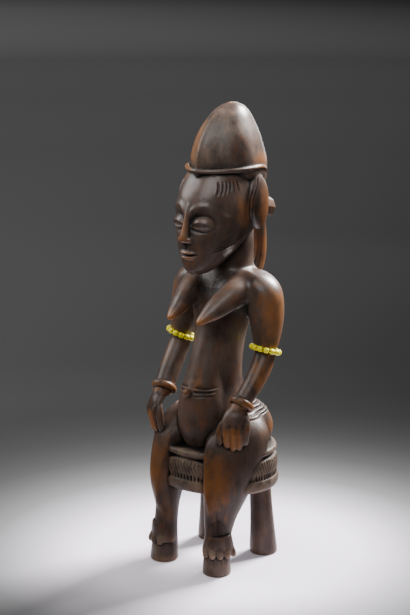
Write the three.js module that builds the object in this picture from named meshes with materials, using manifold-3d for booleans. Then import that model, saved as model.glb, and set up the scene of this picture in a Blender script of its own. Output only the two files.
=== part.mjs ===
// Seated female figure with tall pointed hair, carved with its round stool from one
// block of wood, with a thread of glass beads round each arm.
// Millimetres, +Z up. The figure looks along -Y and its left side is +X. Places are
// measured from a point on the floor near the stool's middle, and the whole is moved
// along Y at the end, so that the origin lies under the middle of the carving.

import * as THREE from "three";
import * as BufferGeometryUtils from "three/addons/utils/BufferGeometryUtils.js";
import Module from "manifold-3d";

const wasm = await Module();
wasm.setup();

// Stool
const seatHalfWidth = 50;
const seatHalfDepth = 42;
const seatMiddle = 4;
const seatBottom = 62;
const seatTop = 94.5;
const toothCount = 22;
const toothDepth = 2.2;
const postSpreadX = 26;
const postSpreadY = 30;
const postLean = 3;
const postFootRadius = 11;
const postTopRadius = 8.4;

// Limbs turn outwards by this much, so that the feet point between front and side
const limbTurn = THREE.MathUtils.degToRad(38);

// Feet
const soleHeight = 14.8;
const toeCount = 5;
const toeRadius = 2.8;
const toeFan = THREE.MathUtils.degToRad(28);
const footShift = 3.2;

// Hands
const fingerCount = 4;
const fingerSpacing = 5.5;
const fingerRadius = 2.9;

// Hair
const hairTop = 354;
const browBand = 306;
const bandThickness = 1.9;

// Belt of carved strands over the hips
const strandCount = 4;
const strandTop = 131;
const strandSpacing = 3.6;
const strandDepth = 1.2;
const beltHalfWidth = 25.5;
const beltHalfDepth = 22;
const beltMiddle = 6.4;
const beltSwell = 9.5;

// Glass bead threads round the arms
const beadRadius = 2.25;
const beadLength = 4.1;
const beadHole = 0.95;
const beadCount = 14;
const beadSides = 6;
const threadRadius = 0.55;
const threadCircle = 10.6;

const woodColor = 0x3c2d26;
const glassColor = 0xe8dc2a;
const threadColor = 0x5a5030;

const sideways = new THREE.Vector3(1, 0, 0);
const backwards = new THREE.Vector3(0, 1, 0);
const upwards = new THREE.Vector3(0, 0, 1);

function toRadians(degrees) {
  return THREE.MathUtils.degToRad(degrees);
}

// A row of numbers between the given rows, on a smooth curve through them
function smoothRow(rows, place) {
  const reach = rows.length - 1;
  const span = Math.min(Math.floor(place * reach), reach - 1);
  const t = place * reach - span;
  const before = rows[Math.max(span - 1, 0)];
  const start = rows[span];
  const end = rows[span + 1];
  const after = rows[Math.min(span + 2, reach)];
  return start.map((value, i) => {
    const slopeIn = (end[i] - before[i]) / 2;
    const slopeOut = (after[i] - value) / 2;
    const t2 = t * t;
    const t3 = t2 * t;
    return (2 * t3 - 3 * t2 + 1) * value + (t3 - 2 * t2 + t) * slopeIn
      + (3 * t2 - 2 * t3) * end[i] + (t3 - t2) * slopeOut;
  });
}

// A closed skin of rings: a sphere whose rows are moved to where ringPoint puts them
function ringSkin(ringCount, around, ringPoint) {
  const skin = new THREE.SphereGeometry(1, around, ringCount + 1);
  const points = skin.attributes.position;
  for (let ring = 0; ring <= ringCount + 1; ring += 1) {
    for (let column = 0; column <= around; column += 1) {
      const angle = ((column % around) / around) * Math.PI * 2;
      const point = ringPoint(ring / (ringCount + 1), angle);
      points.setXYZ(ring * (around + 1) + column, point.x, point.y, point.z);
    }
  }
  return skin;
}

// A form stacked up in level rings, from the top down. Each row gives height, middle x
// and y, half width, depth to the front and to the back, turn in degrees and how much
// the front is drawn out to an edge.
function stackedForm(rows, around, ringCount) {
  return ringSkin(ringCount, around, (place, angle) => {
    const [z, x, y, halfWidth, front, back, turn, edge] = smoothRow(rows, place);
    const closing = place === 0 || place === 1 ? 0 : 1;
    const across = -Math.cos(angle);
    const along = -Math.sin(angle);
    const depth = along < 0 ? front : back;
    const drawnOut = along < 0 ? 1 - edge * (1 - Math.abs(along)) * Math.abs(along) : 1;
    const spot = new THREE.Vector3(
      across * halfWidth * drawnOut * closing,
      along * depth * drawnOut * closing,
      0,
    );
    spot.applyAxisAngle(upwards, toRadians(turn));
    return spot.add(new THREE.Vector3(x, y, z));
  });
}

// A limb along a curved path. Each row gives x, y, z, half width and half thickness,
// and the width lies along the side direction.
function limbForm(rows, around, ringCount, side, ridge = 0) {
  const spine = (place) => new THREE.Vector3(...smoothRow(rows, place));
  return ringSkin(ringCount, around, (place, angle) => {
    const row = smoothRow(rows, place);
    const closing = place === 0 || place === 1 ? 0 : 1;
    const ahead = spine(Math.min(place + 0.02, 1)).sub(spine(Math.max(place - 0.02, 0)));
    ahead.normalize();
    const width = side.clone().addScaledVector(ahead, -side.dot(ahead)).normalize();
    const thickness = new THREE.Vector3().crossVectors(width, ahead);
    const across = -Math.cos(angle);
    const along = -Math.sin(angle);
    const pinch = along > 0 ? 1 - ridge * (1 - along) * along * 2 : 1;
    return spine(place)
      .addScaledVector(width, across * row[3] * pinch * closing)
      .addScaledVector(thickness, along * row[4] * pinch * closing);
  });
}

function roundLump(x, y, z, halfWidth, halfDepth, halfHeight, around) {
  const lump = new THREE.SphereGeometry(1, around, Math.ceil(around * 0.6));
  lump.scale(halfWidth, halfHeight, halfDepth);
  lump.rotateX(Math.PI / 2);
  lump.translate(x, y, z);
  return lump;
}

// The same skin on the other side, with its faces turned so that they still point out
function mirrored(skin) {
  const other = skin.clone();
  other.scale(-1, 1, 1);
  const order = other.index;
  for (let i = 0; i < order.count; i += 3) {
    const second = order.getX(i + 1);
    order.setX(i + 1, order.getX(i + 2));
    order.setX(i + 2, second);
  }
  return other;
}

function bothSides(skin) {
  return [skin, mirrored(skin)];
}

function toSolid(skin) {
  const bare = skin.clone();
  bare.deleteAttribute("normal");
  bare.deleteAttribute("uv");
  const merged = BufferGeometryUtils.mergeVertices(bare, 1e-4);
  const vertProperties = new Float32Array(merged.attributes.position.array);
  const triVerts = new Uint32Array(merged.index.array);
  return new wasm.Manifold(new wasm.Mesh({ numProp: 3, vertProperties, triVerts }));
}

function toSkin(solid) {
  const mesh = solid.getMesh();
  const skin = new THREE.BufferGeometry();
  skin.setAttribute("position", new THREE.BufferAttribute(new Float32Array(mesh.vertProperties), 3));
  skin.setIndex(new THREE.BufferAttribute(new Uint32Array(mesh.triVerts), 1));
  skin.computeVertexNormals();
  return skin;
}

// A point beside the axis, given across and out along the outward turned direction
function turnedPoint(across, out, z) {
  const x = Math.cos(limbTurn) * across + Math.sin(limbTurn) * out;
  const y = Math.sin(limbTurn) * across - Math.cos(limbTurn) * out;
  return new THREE.Vector3(x, y, z);
}

const acrossLimb = turnedPoint(1, 0, 0);

// Neck and trunk, from inside the head down into the seat
function trunk() {
  const rows = [
    [270, 0, 18, 14, 14, 14, 0, 0],
    [260, 0, 20, 17.2, 17.4, 17.6, 0, 0],
    [246, 0, 20.6, 17.5, 17.8, 17.8, 0, 0],
    [234, 0, 20.4, 18.2, 18, 18.2, 0, 0],
    [228, 0, 18.4, 30, 17, 19, 0, 0],
    [220, 0, 16.4, 33.4, 19.4, 21.2, 0, 0],
    [207, 0, 13.6, 30, 20.5, 21.6, 0, 0],
    [195, 0, 10.8, 24, 20.4, 21, 0, 0],
    [183, 0, 8, 20.8, 20, 20.4, 0, 0],
    [171, 0, 5.5, 19.4, 20.4, 20.2, 0, 0],
    [160, 0, 3.6, 19, 23, 20.6, 0, 0.1],
    [149, 0, 2, 18.6, 28, 21.4, 0, 0.2],
    [139, 0, 1, 18.8, 33, 23, 0, 0.3],
    [129, 0, 1.6, 23.6, 35.6, 28.6, 0, 0.3],
    [119, 0, 4, 31, 37.5, 33, 0, 0.3],
    [108, 0, 6, 34, 38, 33, 0, 0.2],
    [97, 0, 7, 34, 36, 32, 0, 0.1],
    [86, 0, 7, 32, 33, 30, 0, 0],
    [76, 0, 7, 28, 29, 26, 0, 0],
  ];
  return stackedForm(rows, 16, 15);
}

function buttocks() {
  return bothSides(roundLump(17.5, 18.5, 104.6, 19.8, 21.4, 21.8, 10));
}

// Belt: one rippled collar round the hips, each strand a crest between two hollows
function belt() {
  const rings = strandCount * 2 + 1;
  const top = strandTop + strandSpacing / 2;
  const height = strandCount * strandSpacing;
  return ringSkin(rings, 16, (place, angle) => {
    const step = place * (rings + 1) - 1;
    const closing = step < 0 || step >= rings ? 0 : 1;
    const down = THREE.MathUtils.clamp(step / (rings - 1), 0, 1);
    const crest = Math.round(step) % 2 === 1 ? strandDepth : 0;
    const swell = beltSwell * down + crest;
    const x = -Math.cos(angle) * (beltHalfWidth + swell) * closing;
    const y = -Math.sin(angle) * (beltHalfDepth + swell) * closing;
    return new THREE.Vector3(x, beltMiddle + y, top - height * down);
  });
}

// Legs: broad flat blades, knees outwards, from inside the hips down to the feet
function legs() {
  const rows = [
    [121, 26, 2, 8, 10, 12, -22, 0],
    [116, 27, -1, 13, 17, 18, -26, 0],
    [107, 28.5, -5, 16.5, 25, 23, -28, 0],
    [95, 29.5, -9, 17, 28.5, 24, -26, 0],
    [82, 29.5, -14, 16, 25.5, 23, -20, 0],
    [70, 29, -18, 14.2, 22.6, 22, -16, 0],
    [58, 28, -22, 12, 18, 18, -18, 0],
    [46, 26.5, -25, 9.8, 14, 14, -32, 0],
    [37, 24.5, -26.5, 7.6, 11.6, 11.4, -44, 0],
    [28, 24.8, -27.5, 7.8, 11.6, 11.6, -48, 0],
    [19, 25.5, -29, 8, 11, 11, -50, 0],
  ];
  return bothSides(stackedForm(rows, 12, 10));
}

// Feet: a low wedge each, on top of the front post, with toes that lap over its face
function feet() {
  const rows = [
    [38, 31.5, 9.6, 6, 5],
    [31, 33, 11.4, 9.6, 5],
    [25, 33.6, 12.6, 12.6, 5],
    [20, 33.6, 13, 13.4, 5],
    [soleHeight, 33.6, 12, 12.6, 5],
  ];
  const stack = rows.map(([z, out, halfWidth, front, back]) => {
    const middle = turnedPoint(footShift, out, z);
    return [z, middle.x, middle.y, halfWidth, front, back, THREE.MathUtils.radToDeg(limbTurn), 0];
  });
  const toes = Array.from({ length: toeCount }, (_, i) => {
    const fan = (i - (toeCount - 1) / 2) * toeFan;
    const along = (reach, height) => turnedPoint(
      footShift + Math.sin(fan) * reach * 0.86,
      34 + Math.cos(fan) * reach,
      soleHeight + height,
    ).toArray();
    return limbForm([
      [...along(16.4, 2.4), toeRadius * 0.6, toeRadius * 0.6],
      [...along(14.6, 4), toeRadius, toeRadius],
      [...along(11.6, 9), toeRadius, toeRadius],
      [...along(6, 15), toeRadius * 0.8, toeRadius * 0.8],
    ], 5, 3, acrossLimb);
  });
  return [stackedForm(stack, 12, 4), ...toes].flatMap(bothSides);
}

function arms() {
  const rows = [
    [16, 17, 227, 8, 5],
    [26, 17, 224, 12, 9.8],
    [33.6, 16.6, 215, 14.4, 14],
    [36.4, 16.6, 203, 14.2, 14.2],
    [38.4, 15.4, 190, 12.4, 12.6],
    [39.8, 13, 179.5, 10.2, 10.4],
    [40.8, 10.6, 171, 7.3, 7.3],
    [41, 8.5, 162, 8.2, 8.6],
    [40.6, 1, 151.5, 8, 8],
    [39.4, -7, 142.5, 7.8, 7.8],
    [38, -14, 135, 7.4, 7.2],
    [36.5, -20, 128, 7.2, 6.2],
  ];
  return bothSides(limbForm(rows, 10, 12, backwards));
}

function bracelets() {
  const ring = new THREE.TorusGeometry(8.1, 2.2, 4, 10);
  ring.scale(1, 1, 1.35);
  const along = new THREE.Vector3(-0.11, -0.62, -0.78).normalize();
  ring.applyQuaternion(new THREE.Quaternion().setFromUnitVectors(upwards, along));
  ring.translate(37.8, -15, 133.4);
  return bothSides(ring);
}

function hands() {
  const palmRows = [
    [...turnedPoint(17.4, 36.4, 134).toArray(), 6.4, 5],
    [...turnedPoint(16.2, 41, 127).toArray(), 9, 5.2],
    [...turnedPoint(15, 43.4, 119).toArray(), 12, 4.8],
    [...turnedPoint(15, 42.6, 111).toArray(), 11.6, 4.4],
  ];
  const palm = limbForm(palmRows, 8, 4, acrossLimb);
  const fingers = Array.from({ length: fingerCount }, (_, i) => {
    const across = 8.2 + i * fingerSpacing;
    const tip = 98.5 + Math.abs(i - 1) * 1.6;
    return limbForm([
      [...turnedPoint(across, 43.6, 120).toArray(), fingerRadius * 0.8, fingerRadius * 0.8],
      [...turnedPoint(across, 44.6, 113).toArray(), fingerRadius, fingerRadius],
      [...turnedPoint(across, 43.4, 105).toArray(), fingerRadius, fingerRadius],
      [...turnedPoint(across, 41.6, tip).toArray(), fingerRadius * 0.7, fingerRadius * 0.7],
    ], 5, 3, acrossLimb);
  });
  const thumb = limbForm([
    [...turnedPoint(8, 41, 123).toArray(), 2.6, 2.6],
    [...turnedPoint(4.4, 41, 117).toArray(), 3.1, 3.1],
    [...turnedPoint(3.2, 39.4, 109).toArray(), 3, 3],
    [...turnedPoint(4, 37.6, 103).toArray(), 2, 2],
  ], 5, 3, acrossLimb);
  return [palm, ...fingers, thumb].flatMap(bothSides);
}

function breasts() {
  const rows = [
    [13.8, -38, 196.4, 1.5, 1.4],
    [14.3, -34.6, 198, 4, 3.7],
    [15.8, -25, 202.8, 7.4, 6.8],
    [17.8, -15, 208, 10.2, 9.6],
    [19.8, -6, 213, 11.8, 11.2],
    [21.6, 3, 217, 11.8, 11],
  ];
  return bothSides(limbForm(rows, 10, 5, sideways, 0.16));
}

// Head below the hair, on plain proportions: brow, nose and chin at even thirds
function head() {
  const rows = [
    [310, 0, 14, 22, 30, 31, 0, 0],
    [300, 0, 13, 25.6, 37, 36, 0, 0],
    [289, 0, 12, 26.8, 42, 37.5, 0, 0],
    [277, 0, 10.6, 27, 43.6, 37.5, 0, 0],
    [266, 0, 8, 25.6, 42, 35, 0, 0],
    [256, 0, 2, 22.8, 36.4, 31, 0, 0],
    [247, 0, -5, 18.6, 28.6, 26, 0, 0],
    [239, 0, -12, 14, 20.4, 20, 0, 0],
    [233, 0, -17, 9.4, 13.4, 14, 0, 0],
    [229.5, 0, -19, 4.6, 7.6, 8, 0, 0],
  ];
  return stackedForm(rows, 16, 9);
}

// Features laid on in a calm, even order: nose, two lips, lidded eyes and arched brows
function face() {
  const nose = limbForm([
    [0, -30, 284, 1.6, 1.6],
    [0, -32.6, 277, 2.4, 2.6],
    [0, -35.6, 266, 2.8, 3.4],
    [0, -37.6, 259.4, 4.2, 3.8],
    [0, -34.4, 255.4, 4.2, 3],
  ], 6, 5, sideways);
  const lips = [247.6, 243.8].map((height) => roundLump(0, -31.6, height, 6, 3.2, 1.8, 6));
  const eye = roundLump(10.4, -27.4, 272.5, 6.4, 3, 3, 8);
  const brow = limbForm([
    [2, -32.6, 278, 0.9, 1.2],
    [7, -30.6, 281.6, 1.2, 1.8],
    [12, -27.6, 282.8, 1.2, 1.8],
    [18, -21.6, 279.6, 1.2, 1.8],
    [20.6, -17.6, 275, 0.8, 1.2],
  ], 5, 4, upwards);
  return [nose, ...lips, ...bothSides(eye), ...bothSides(brow)];
}

// Hair: a tall crest, drawn out to a keel in front, falling in to the nape behind
function hair() {
  const rows = [
    [hairTop, 0, 22, 1, 1, 1, 0, 0],
    [hairTop - 2.5, 0, 21.5, 8.4, 12, 9.5, 0, 0.25],
    [347, 0, 20.6, 13, 20.6, 15.5, 0, 0.35],
    [340, 0, 19.4, 17, 27, 20.6, 0, 0.4],
    [331, 0, 17.2, 21.5, 32.2, 27, 0, 0.4],
    [321, 0, 15.4, 24.8, 35, 32, 0, 0.4],
    [312, 0, 14.4, 26.4, 35.8, 35, 0, 0.35],
    [303, 0, 14, 26.6, 34.8, 36, 0, 0.2],
    [293, 0, 18, 24.6, 30, 32.4, 0, 0],
    [281, 0, 22, 21, 24, 26.6, 0, 0],
    [271, 0, 24, 16, 18, 20, 0, 0],
  ];
  return stackedForm(rows, 16, 10);
}

// The raised band at the foot of the hair: level over the brow, falling behind the ears
function hairBand() {
  const band = new THREE.TorusGeometry(1, 0.25, 4, 20);
  const points = band.attributes.position;
  for (let k = 0; k < points.count; k += 1) {
    const angle = Math.atan2(points.getY(k), points.getX(k));
    const out = (Math.hypot(points.getX(k), points.getY(k)) - 1) * 4 * bandThickness;
    const backward = Math.max(Math.sin(angle), 0);
    const drop = 22 * backward ** 3;
    const depth = Math.sin(angle) < 0 ? 34.6 : 36 - 5 * backward;
    const halfWidth = 26.2;
    const x = Math.cos(angle) * (halfWidth + out);
    const y = 14 + Math.sin(angle) * (depth + out);
    const rise = 1.8 * Math.cos(angle) ** 2;
    points.setXYZ(k, x, y, browBand + rise - drop + points.getZ(k) * 4 * 1.7);
  }
  return band;
}

// Leaf-shaped flaps of hair that hang over the ears
function earFlaps() {
  const rows = [
    [304, 25.4, 19, 1.4, 1.6, 1.6, 0, 0],
    [298, 26, 18.8, 3.4, 7.4, 8, 0, 0],
    [290, 26.4, 18.8, 4, 11.4, 12, 0, 0],
    [281, 26.2, 19.6, 4.2, 12.8, 12.6, 0, 0],
    [271, 25, 21.6, 4, 11, 10.4, 0, 0],
    [263, 23, 24.6, 3.4, 7, 6.6, 0, 0],
    [259, 22, 26, 1.6, 2.4, 2.4, 0, 0],
  ];
  return bothSides(stackedForm(rows, 8, 6));
}

// The bun at the back of the head, and the tress that hangs from it to the shoulders
function knob() {
  return limbForm([
    [0, 36, 280, 12, 14],
    [0, 48, 275, 9.6, 11],
    [0, 58, 271, 7.4, 8.6],
    [0, 66, 268.6, 7.4, 8.4],
    [0, 69.5, 268, 6, 7],
  ], 8, 5, sideways);
}

function tress() {
  return limbForm([
    [0, 53, 272, 3.8, 4.4],
    [0, 56, 262, 4.6, 5.4],
    [0, 57, 250, 4.9, 5.8],
    [0, 57, 238, 5.1, 6],
    [0, 55, 227, 5.1, 6],
    [0, 48, 215, 5, 5.6],
    [0, 38, 206, 4.6, 5],
    [0, 28, 200, 4, 4],
  ], 6, 9, sideways);
}

// Navel boss, with two carved lines running out from it on each side
function navel() {
  const boss = roundLump(0, -34, 139.5, 2.8, 3.4, 3.4, 8);
  const lines = [141.6, 137.6].map((height) => limbForm([
    [3, -32.6, height, 0.7, 1],
    [8, -28, height + 0.2, 0.9, 1.2],
    [12.6, -21.6, height + 0.4, 0.9, 1.2],
    [15.6, -15, height + 0.4, 0.6, 0.9],
  ], 4, 3, upwards));
  return [boss, ...lines.flatMap(bothSides)];
}

// Round seat: plain lower rim, a row of teeth, a hatched drum, a groove and a top rim
function seat() {
  const profile = [
    [seatTop, -3.6, 0],
    [seatTop - 1.4, -1.6, 0],
    [seatTop - 4.4, -1.6, 0],
    [seatTop - 5.4, -3.8, 0],
    [seatTop - 8.8, -0.8, 0],
    [seatTop - 18.4, -0.6, 0],
    [seatTop - 19, -0.8, toothDepth],
    [seatTop - 22.6, -2, toothDepth],
    [seatTop - 23.4, 0.3, 0],
    [seatBottom, -1.6, 0],
  ];
  const around = toothCount * 2;
  return ringSkin(profile.length, around, (place, angle) => {
    const row = Math.round(place * (profile.length + 1)) - 1;
    const first = row < 0;
    const last = row >= profile.length;
    const [z, inset, notch] = profile[THREE.MathUtils.clamp(row, 0, profile.length - 1)];
    const closing = first || last ? 0 : 1;
    const step = Math.round((angle / (Math.PI * 2)) * around);
    const cut = step % 2 === 0 ? notch : 0;
    const x = -Math.cos(angle) * (seatHalfWidth + inset - cut) * closing;
    const y = -Math.sin(angle) * (seatHalfDepth + inset - cut) * closing;
    return new THREE.Vector3(x, y + seatMiddle, z);
  });
}

// Four posts that lean in a little and grow wider towards the floor
function posts() {
  const places = [[1, -1], [-1, -1], [1, 1], [-1, 1]];
  const rings = [
    [seatBottom + 6, postTopRadius],
    [34, 8.9],
    [1.6, postFootRadius],
    [0, postFootRadius - 1.4],
  ];
  return places.map(([sideX, sideY]) => {
    const foot = new THREE.Vector2(sideX * postSpreadX, sideY * postSpreadY);
    const top = new THREE.Vector2(sideX * (postSpreadX - 2), sideY * (postSpreadY - postLean));
    return ringSkin(rings.length, 10, (place, angle) => {
      const row = Math.round(place * (rings.length + 1)) - 1;
      const closing = row < 0 || row >= rings.length ? 0 : 1;
      const [z, radius] = rings[THREE.MathUtils.clamp(row, 0, rings.length - 1)];
      const middle = foot.clone().lerp(top, z / seatBottom);
      const x = middle.x - Math.cos(angle) * radius * closing;
      const y = middle.y - Math.sin(angle) * radius * closing;
      return new THREE.Vector3(x, y, z);
    });
  });
}

function carvedFigure() {
  const skins = [
    trunk(), ...buttocks(), belt(), ...legs(), ...feet(), ...arms(), ...bracelets(),
    ...hands(), ...breasts(), head(), ...face(), hair(), hairBand(), ...earFlaps(), knob(),
    tress(), ...navel(), seat(), ...posts(),
  ];
  const whole = skins.map(toSolid).reduce((joined, next) => joined.add(next));
  return toSkin(whole);
}

function namedMesh(name, skin, color, roughness) {
  const material = new THREE.MeshStandardMaterial({ color, roughness, metalness: 0 });
  const mesh = new THREE.Mesh(skin, material);
  mesh.name = name;
  return mesh;
}

// One bead: a short round barrel with a hole along its own Y axis
function beadSkin() {
  const half = beadLength / 2;
  const profile = [
    [beadHole, -half],
    [beadRadius, -half * 0.5],
    [beadRadius, half * 0.5],
    [beadHole, half],
    [beadHole, -half],
  ].map(([radius, height]) => new THREE.Vector2(radius, height));
  return new THREE.LatheGeometry(profile, beadSides);
}

function armlet(side, sideName, tilt) {
  const group = new THREE.Group();
  const thread = new THREE.TorusGeometry(threadCircle, threadRadius, 3, 18);
  group.add(namedMesh(`${sideName}_armlet_thread`, thread, threadColor, 0.8));
  for (let i = 0; i < beadCount; i += 1) {
    const angle = (i / beadCount) * Math.PI * 2;
    const number = String(i + 1).padStart(2, "0");
    const bead = namedMesh(`${sideName}_armlet_bead_${number}`, beadSkin(), glassColor, 0.15);
    bead.position.set(Math.cos(angle) * threadCircle, Math.sin(angle) * threadCircle, 0);
    bead.rotation.z = angle;
    group.add(bead);
  }
  group.position.set(side * 40.8, 10.6, 171);
  group.rotation.set(toRadians(-16), toRadians(tilt), 0);
  return group;
}

const group = new THREE.Group();
group.add(namedMesh("carved_figure", carvedFigure(), woodColor, 0.45));
group.add(armlet(1, "left", 4));
group.add(armlet(-1, "right", 14));
const middle = new THREE.Box3().setFromObject(group).getCenter(new THREE.Vector3());
group.position.y = -middle.y;

export default group;
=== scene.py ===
import math
from functools import partial

import bpy
import numpy as np
from mathutils import Matrix, Vector


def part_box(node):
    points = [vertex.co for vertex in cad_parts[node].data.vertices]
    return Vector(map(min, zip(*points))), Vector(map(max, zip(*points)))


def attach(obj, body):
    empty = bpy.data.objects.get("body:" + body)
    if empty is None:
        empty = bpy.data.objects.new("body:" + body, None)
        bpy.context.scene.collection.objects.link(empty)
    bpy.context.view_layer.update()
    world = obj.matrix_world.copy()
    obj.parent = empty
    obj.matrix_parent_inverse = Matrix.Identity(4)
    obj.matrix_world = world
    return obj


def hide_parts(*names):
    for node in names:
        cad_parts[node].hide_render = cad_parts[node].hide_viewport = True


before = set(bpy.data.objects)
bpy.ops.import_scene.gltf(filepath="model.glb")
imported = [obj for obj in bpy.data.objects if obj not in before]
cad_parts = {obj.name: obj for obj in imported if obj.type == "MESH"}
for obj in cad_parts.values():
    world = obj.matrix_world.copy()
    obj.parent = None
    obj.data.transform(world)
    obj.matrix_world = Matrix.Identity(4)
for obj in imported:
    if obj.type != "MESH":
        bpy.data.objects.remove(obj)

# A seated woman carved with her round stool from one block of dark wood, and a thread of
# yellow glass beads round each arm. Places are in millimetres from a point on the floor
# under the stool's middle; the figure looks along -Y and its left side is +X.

bpy.ops.object.select_all(action="DESELECT")
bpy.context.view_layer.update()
mm = 0.001
bunBack = 69.5  # how far back the bun reaches, which ties these places to the frame
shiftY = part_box("carved_figure")[1].y - bunBack * mm


def activate(*pieces):
    bpy.ops.object.select_all(action="DESELECT")
    for piece in pieces:
        piece.select_set(True)
    bpy.context.view_layer.objects.active = pieces[0]


def spot(x, y, z):  # millimetres to the frame's metres
    return Vector((x * mm, y * mm + shiftY, z * mm))


def turned(across, out):  # a place beside the axis, for limbs that point 38 degrees outwards
    side, ahead = math.cos(limbs["turn"]), math.sin(limbs["turn"])
    return side * across + ahead * out, ahead * across - side * out


def fineRows(rows, steps):  # more rows on a smooth curve through the given ones
    fine = []
    for k in range(len(rows) - 1):
        before, start, end = rows[max(k - 1, 0)], rows[k], rows[k + 1]
        after = rows[min(k + 2, len(rows) - 1)]
        for step in range(steps):
            t = step / steps
            fine.append([
                (2 * t**3 - 3 * t**2 + 1) * b + (t**3 - 2 * t**2 + t) * (c - a) / 2
                + (3 * t**2 - 2 * t**3) * c + (t**3 - t**2) * (d - b) / 2
                for a, b, c, d in zip(before, start, end, after)
            ])
    return fine + [list(rows[-1])]


def roundSection(across, along):
    return across, along


def softSquare(power):  # a section between a round and a square
    def section(across, along):
        reach = (abs(across) ** power + abs(along) ** power) ** (1 / power)
        return across / reach, along / reach
    return section


def edgedSection(edge):  # a section whose two front faces meet in a ridge
    def section(across, along):
        pull = 1 - edge * abs(across) * along**2 if along < 0 else 1
        return across * pull, along * pull
    return section


def stackForm(name, rows, sides=20, steps=2, axis="Z", section=roundSection, finish=1):
    # rows: place along the axis, the two other places, half width, half depth, turn in degrees
    path = fineRows([list(row) + [0] * (6 - len(row)) for row in rows], steps)
    bpy.ops.mesh.primitive_circle_add(vertices=sides, radius=mm, fill_type="NGON")
    form = bpy.context.object
    form.name = name
    for point in form.data.vertices:
        across, along = section(point.co.x / mm, point.co.y / mm)
        point.co = (across * mm, along * mm, 0) if axis == "Z" else (across * mm, 0, along * mm)

    def read(row):
        place = spot(row[1], row[2], row[0]) if axis == "Z" else spot(row[1], row[0], row[2])
        size = (row[3], row[4], 1) if axis == "Z" else (row[3], 1, row[4])
        return place, Vector(size), math.radians(row[5])

    bpy.ops.object.mode_set(mode="EDIT")
    bpy.ops.mesh.select_all(action="SELECT")
    place, size, turn = read(path[0])
    bpy.ops.transform.translate(value=place)
    bpy.ops.transform.resize(value=size, center_override=place)
    if turn:
        bpy.ops.transform.rotate(value=-turn, orient_axis="Z", center_override=place)
    for row in path[1:]:
        nextPlace, nextSize, nextTurn = read(row)
        bpy.ops.mesh.extrude_region_move(TRANSFORM_OT_translate={"value": nextPlace - place})
        if turn:
            bpy.ops.transform.rotate(value=turn, orient_axis="Z", center_override=nextPlace)
        change = [new / old for new, old in zip(nextSize, size)]
        bpy.ops.transform.resize(value=change, center_override=nextPlace)
        if nextTurn:
            bpy.ops.transform.rotate(value=-nextTurn, orient_axis="Z", center_override=nextPlace)
        place, size, turn = nextPlace, nextSize, nextTurn
    bpy.ops.mesh.select_all(action="SELECT")
    bpy.ops.mesh.normals_make_consistent(inside=False)
    bpy.ops.object.mode_set(mode="OBJECT")
    if finish:
        applyModifier(form, "SUBSURF", levels=finish, render_levels=finish)
    return form


def roundForm(name, place, size, turn=0):
    bpy.ops.mesh.primitive_uv_sphere_add(segments=40, ring_count=24, radius=mm)
    form = bpy.context.object
    form.name = name
    bpy.ops.object.mode_set(mode="EDIT")
    bpy.ops.transform.resize(value=size)
    if turn:
        bpy.ops.transform.rotate(value=-math.radians(turn), orient_axis="Z", center_override=(0, 0, 0))
    bpy.ops.transform.translate(value=spot(*place))
    bpy.ops.object.mode_set(mode="OBJECT")
    return form


def applyModifier(piece, kind, **settings):
    activate(piece)
    modifier = piece.modifiers.new(kind.lower(), kind)
    for key, value in settings.items():
        setattr(modifier, key, value)
    bpy.ops.object.modifier_apply(modifier=modifier.name)


def bothSides(*forms):
    for form in forms:
        applyModifier(form, "MIRROR", use_mirror_merge=False)
    return list(forms)


def fuse(name, forms, voxel, rounds):  # one skin over several forms, with softened joins
    activate(*forms)
    bpy.ops.object.join()
    whole = bpy.context.object
    whole.name = name
    applyModifier(whole, "REMESH", mode="VOXEL", voxel_size=voxel * mm)
    applyModifier(whole, "SMOOTH", factor=0.5, iterations=rounds)
    return whole


def readPoints(piece):  # places in millimetres, as spot takes them, and normals
    points = np.empty(len(piece.data.vertices) * 3, np.float32)
    piece.data.vertices.foreach_get("co", points)
    points = points.reshape(-1, 3).astype(float) / mm
    points[:, 1] -= shiftY / mm
    normals = np.empty(len(piece.data.vertices) * 3, np.float32)
    piece.data.vertex_normals.foreach_get("vector", normals)
    return points, normals.reshape(-1, 3).astype(float)


def writePoints(piece, points):
    moved = points.copy()
    moved[:, 1] += shiftY / mm
    piece.data.vertices.foreach_set("co", (moved * mm).astype(np.float32).ravel())
    piece.data.update()


def readEdges(piece):
    edges = np.empty(len(piece.data.edges) * 2, np.int32)
    piece.data.edges.foreach_get("vertices", edges)
    return edges.reshape(-1, 2)


def softStep(low, high, value):
    t = np.clip((value - low) / (high - low), 0, 1)
    return t * t * (3 - 2 * t)


def dent(away, width, power):  # 1 on a line, falling to 0 at the width beside it
    return np.clip(1 - (away / width) ** 2, 0, 1) ** power


def pathDistance(points, path):  # least distance from each point to a path, and the share along it
    best = np.full(len(points), 1e9)
    share = np.zeros(len(points))
    for k in range(len(path) - 1):
        start, step = np.array(path[k], float), np.array(path[k + 1], float) - np.array(path[k], float)
        t = np.clip(((points - start) @ step) / (step @ step), 0, 1)
        away = np.linalg.norm(points - start - t[:, None] * step, axis=1)
        closer = away < best
        best[closer] = away[closer]
        share[closer] = (k + t[closer]) / (len(path) - 1)
    return best, share


def places(points):  # distance from the middle, place backwards and height
    return np.abs(points[:, 0]), points[:, 1], points[:, 2]


def spreadOut(values, edges, rounds):  # the mean over each point's neighbours
    ends = np.concatenate([edges[:, 0], edges[:, 1]])
    others = np.concatenate([edges[:, 1], edges[:, 0]])
    count = len(values)
    neighbours = np.maximum(np.bincount(ends, minlength=count), 1)
    for step in range(rounds):
        sums = [np.bincount(ends, values[others, k], count) for k in range(values.shape[1])]
        values = np.column_stack(sums) / neighbours[:, None]
    return values


def relax(points, edges, share, rounds):  # draws each point towards its neighbours, by its share
    for step in range(rounds):
        points += (spreadOut(points, edges, 1) - points) * share[:, None]


# The trunk, hips, arms and legs

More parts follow.
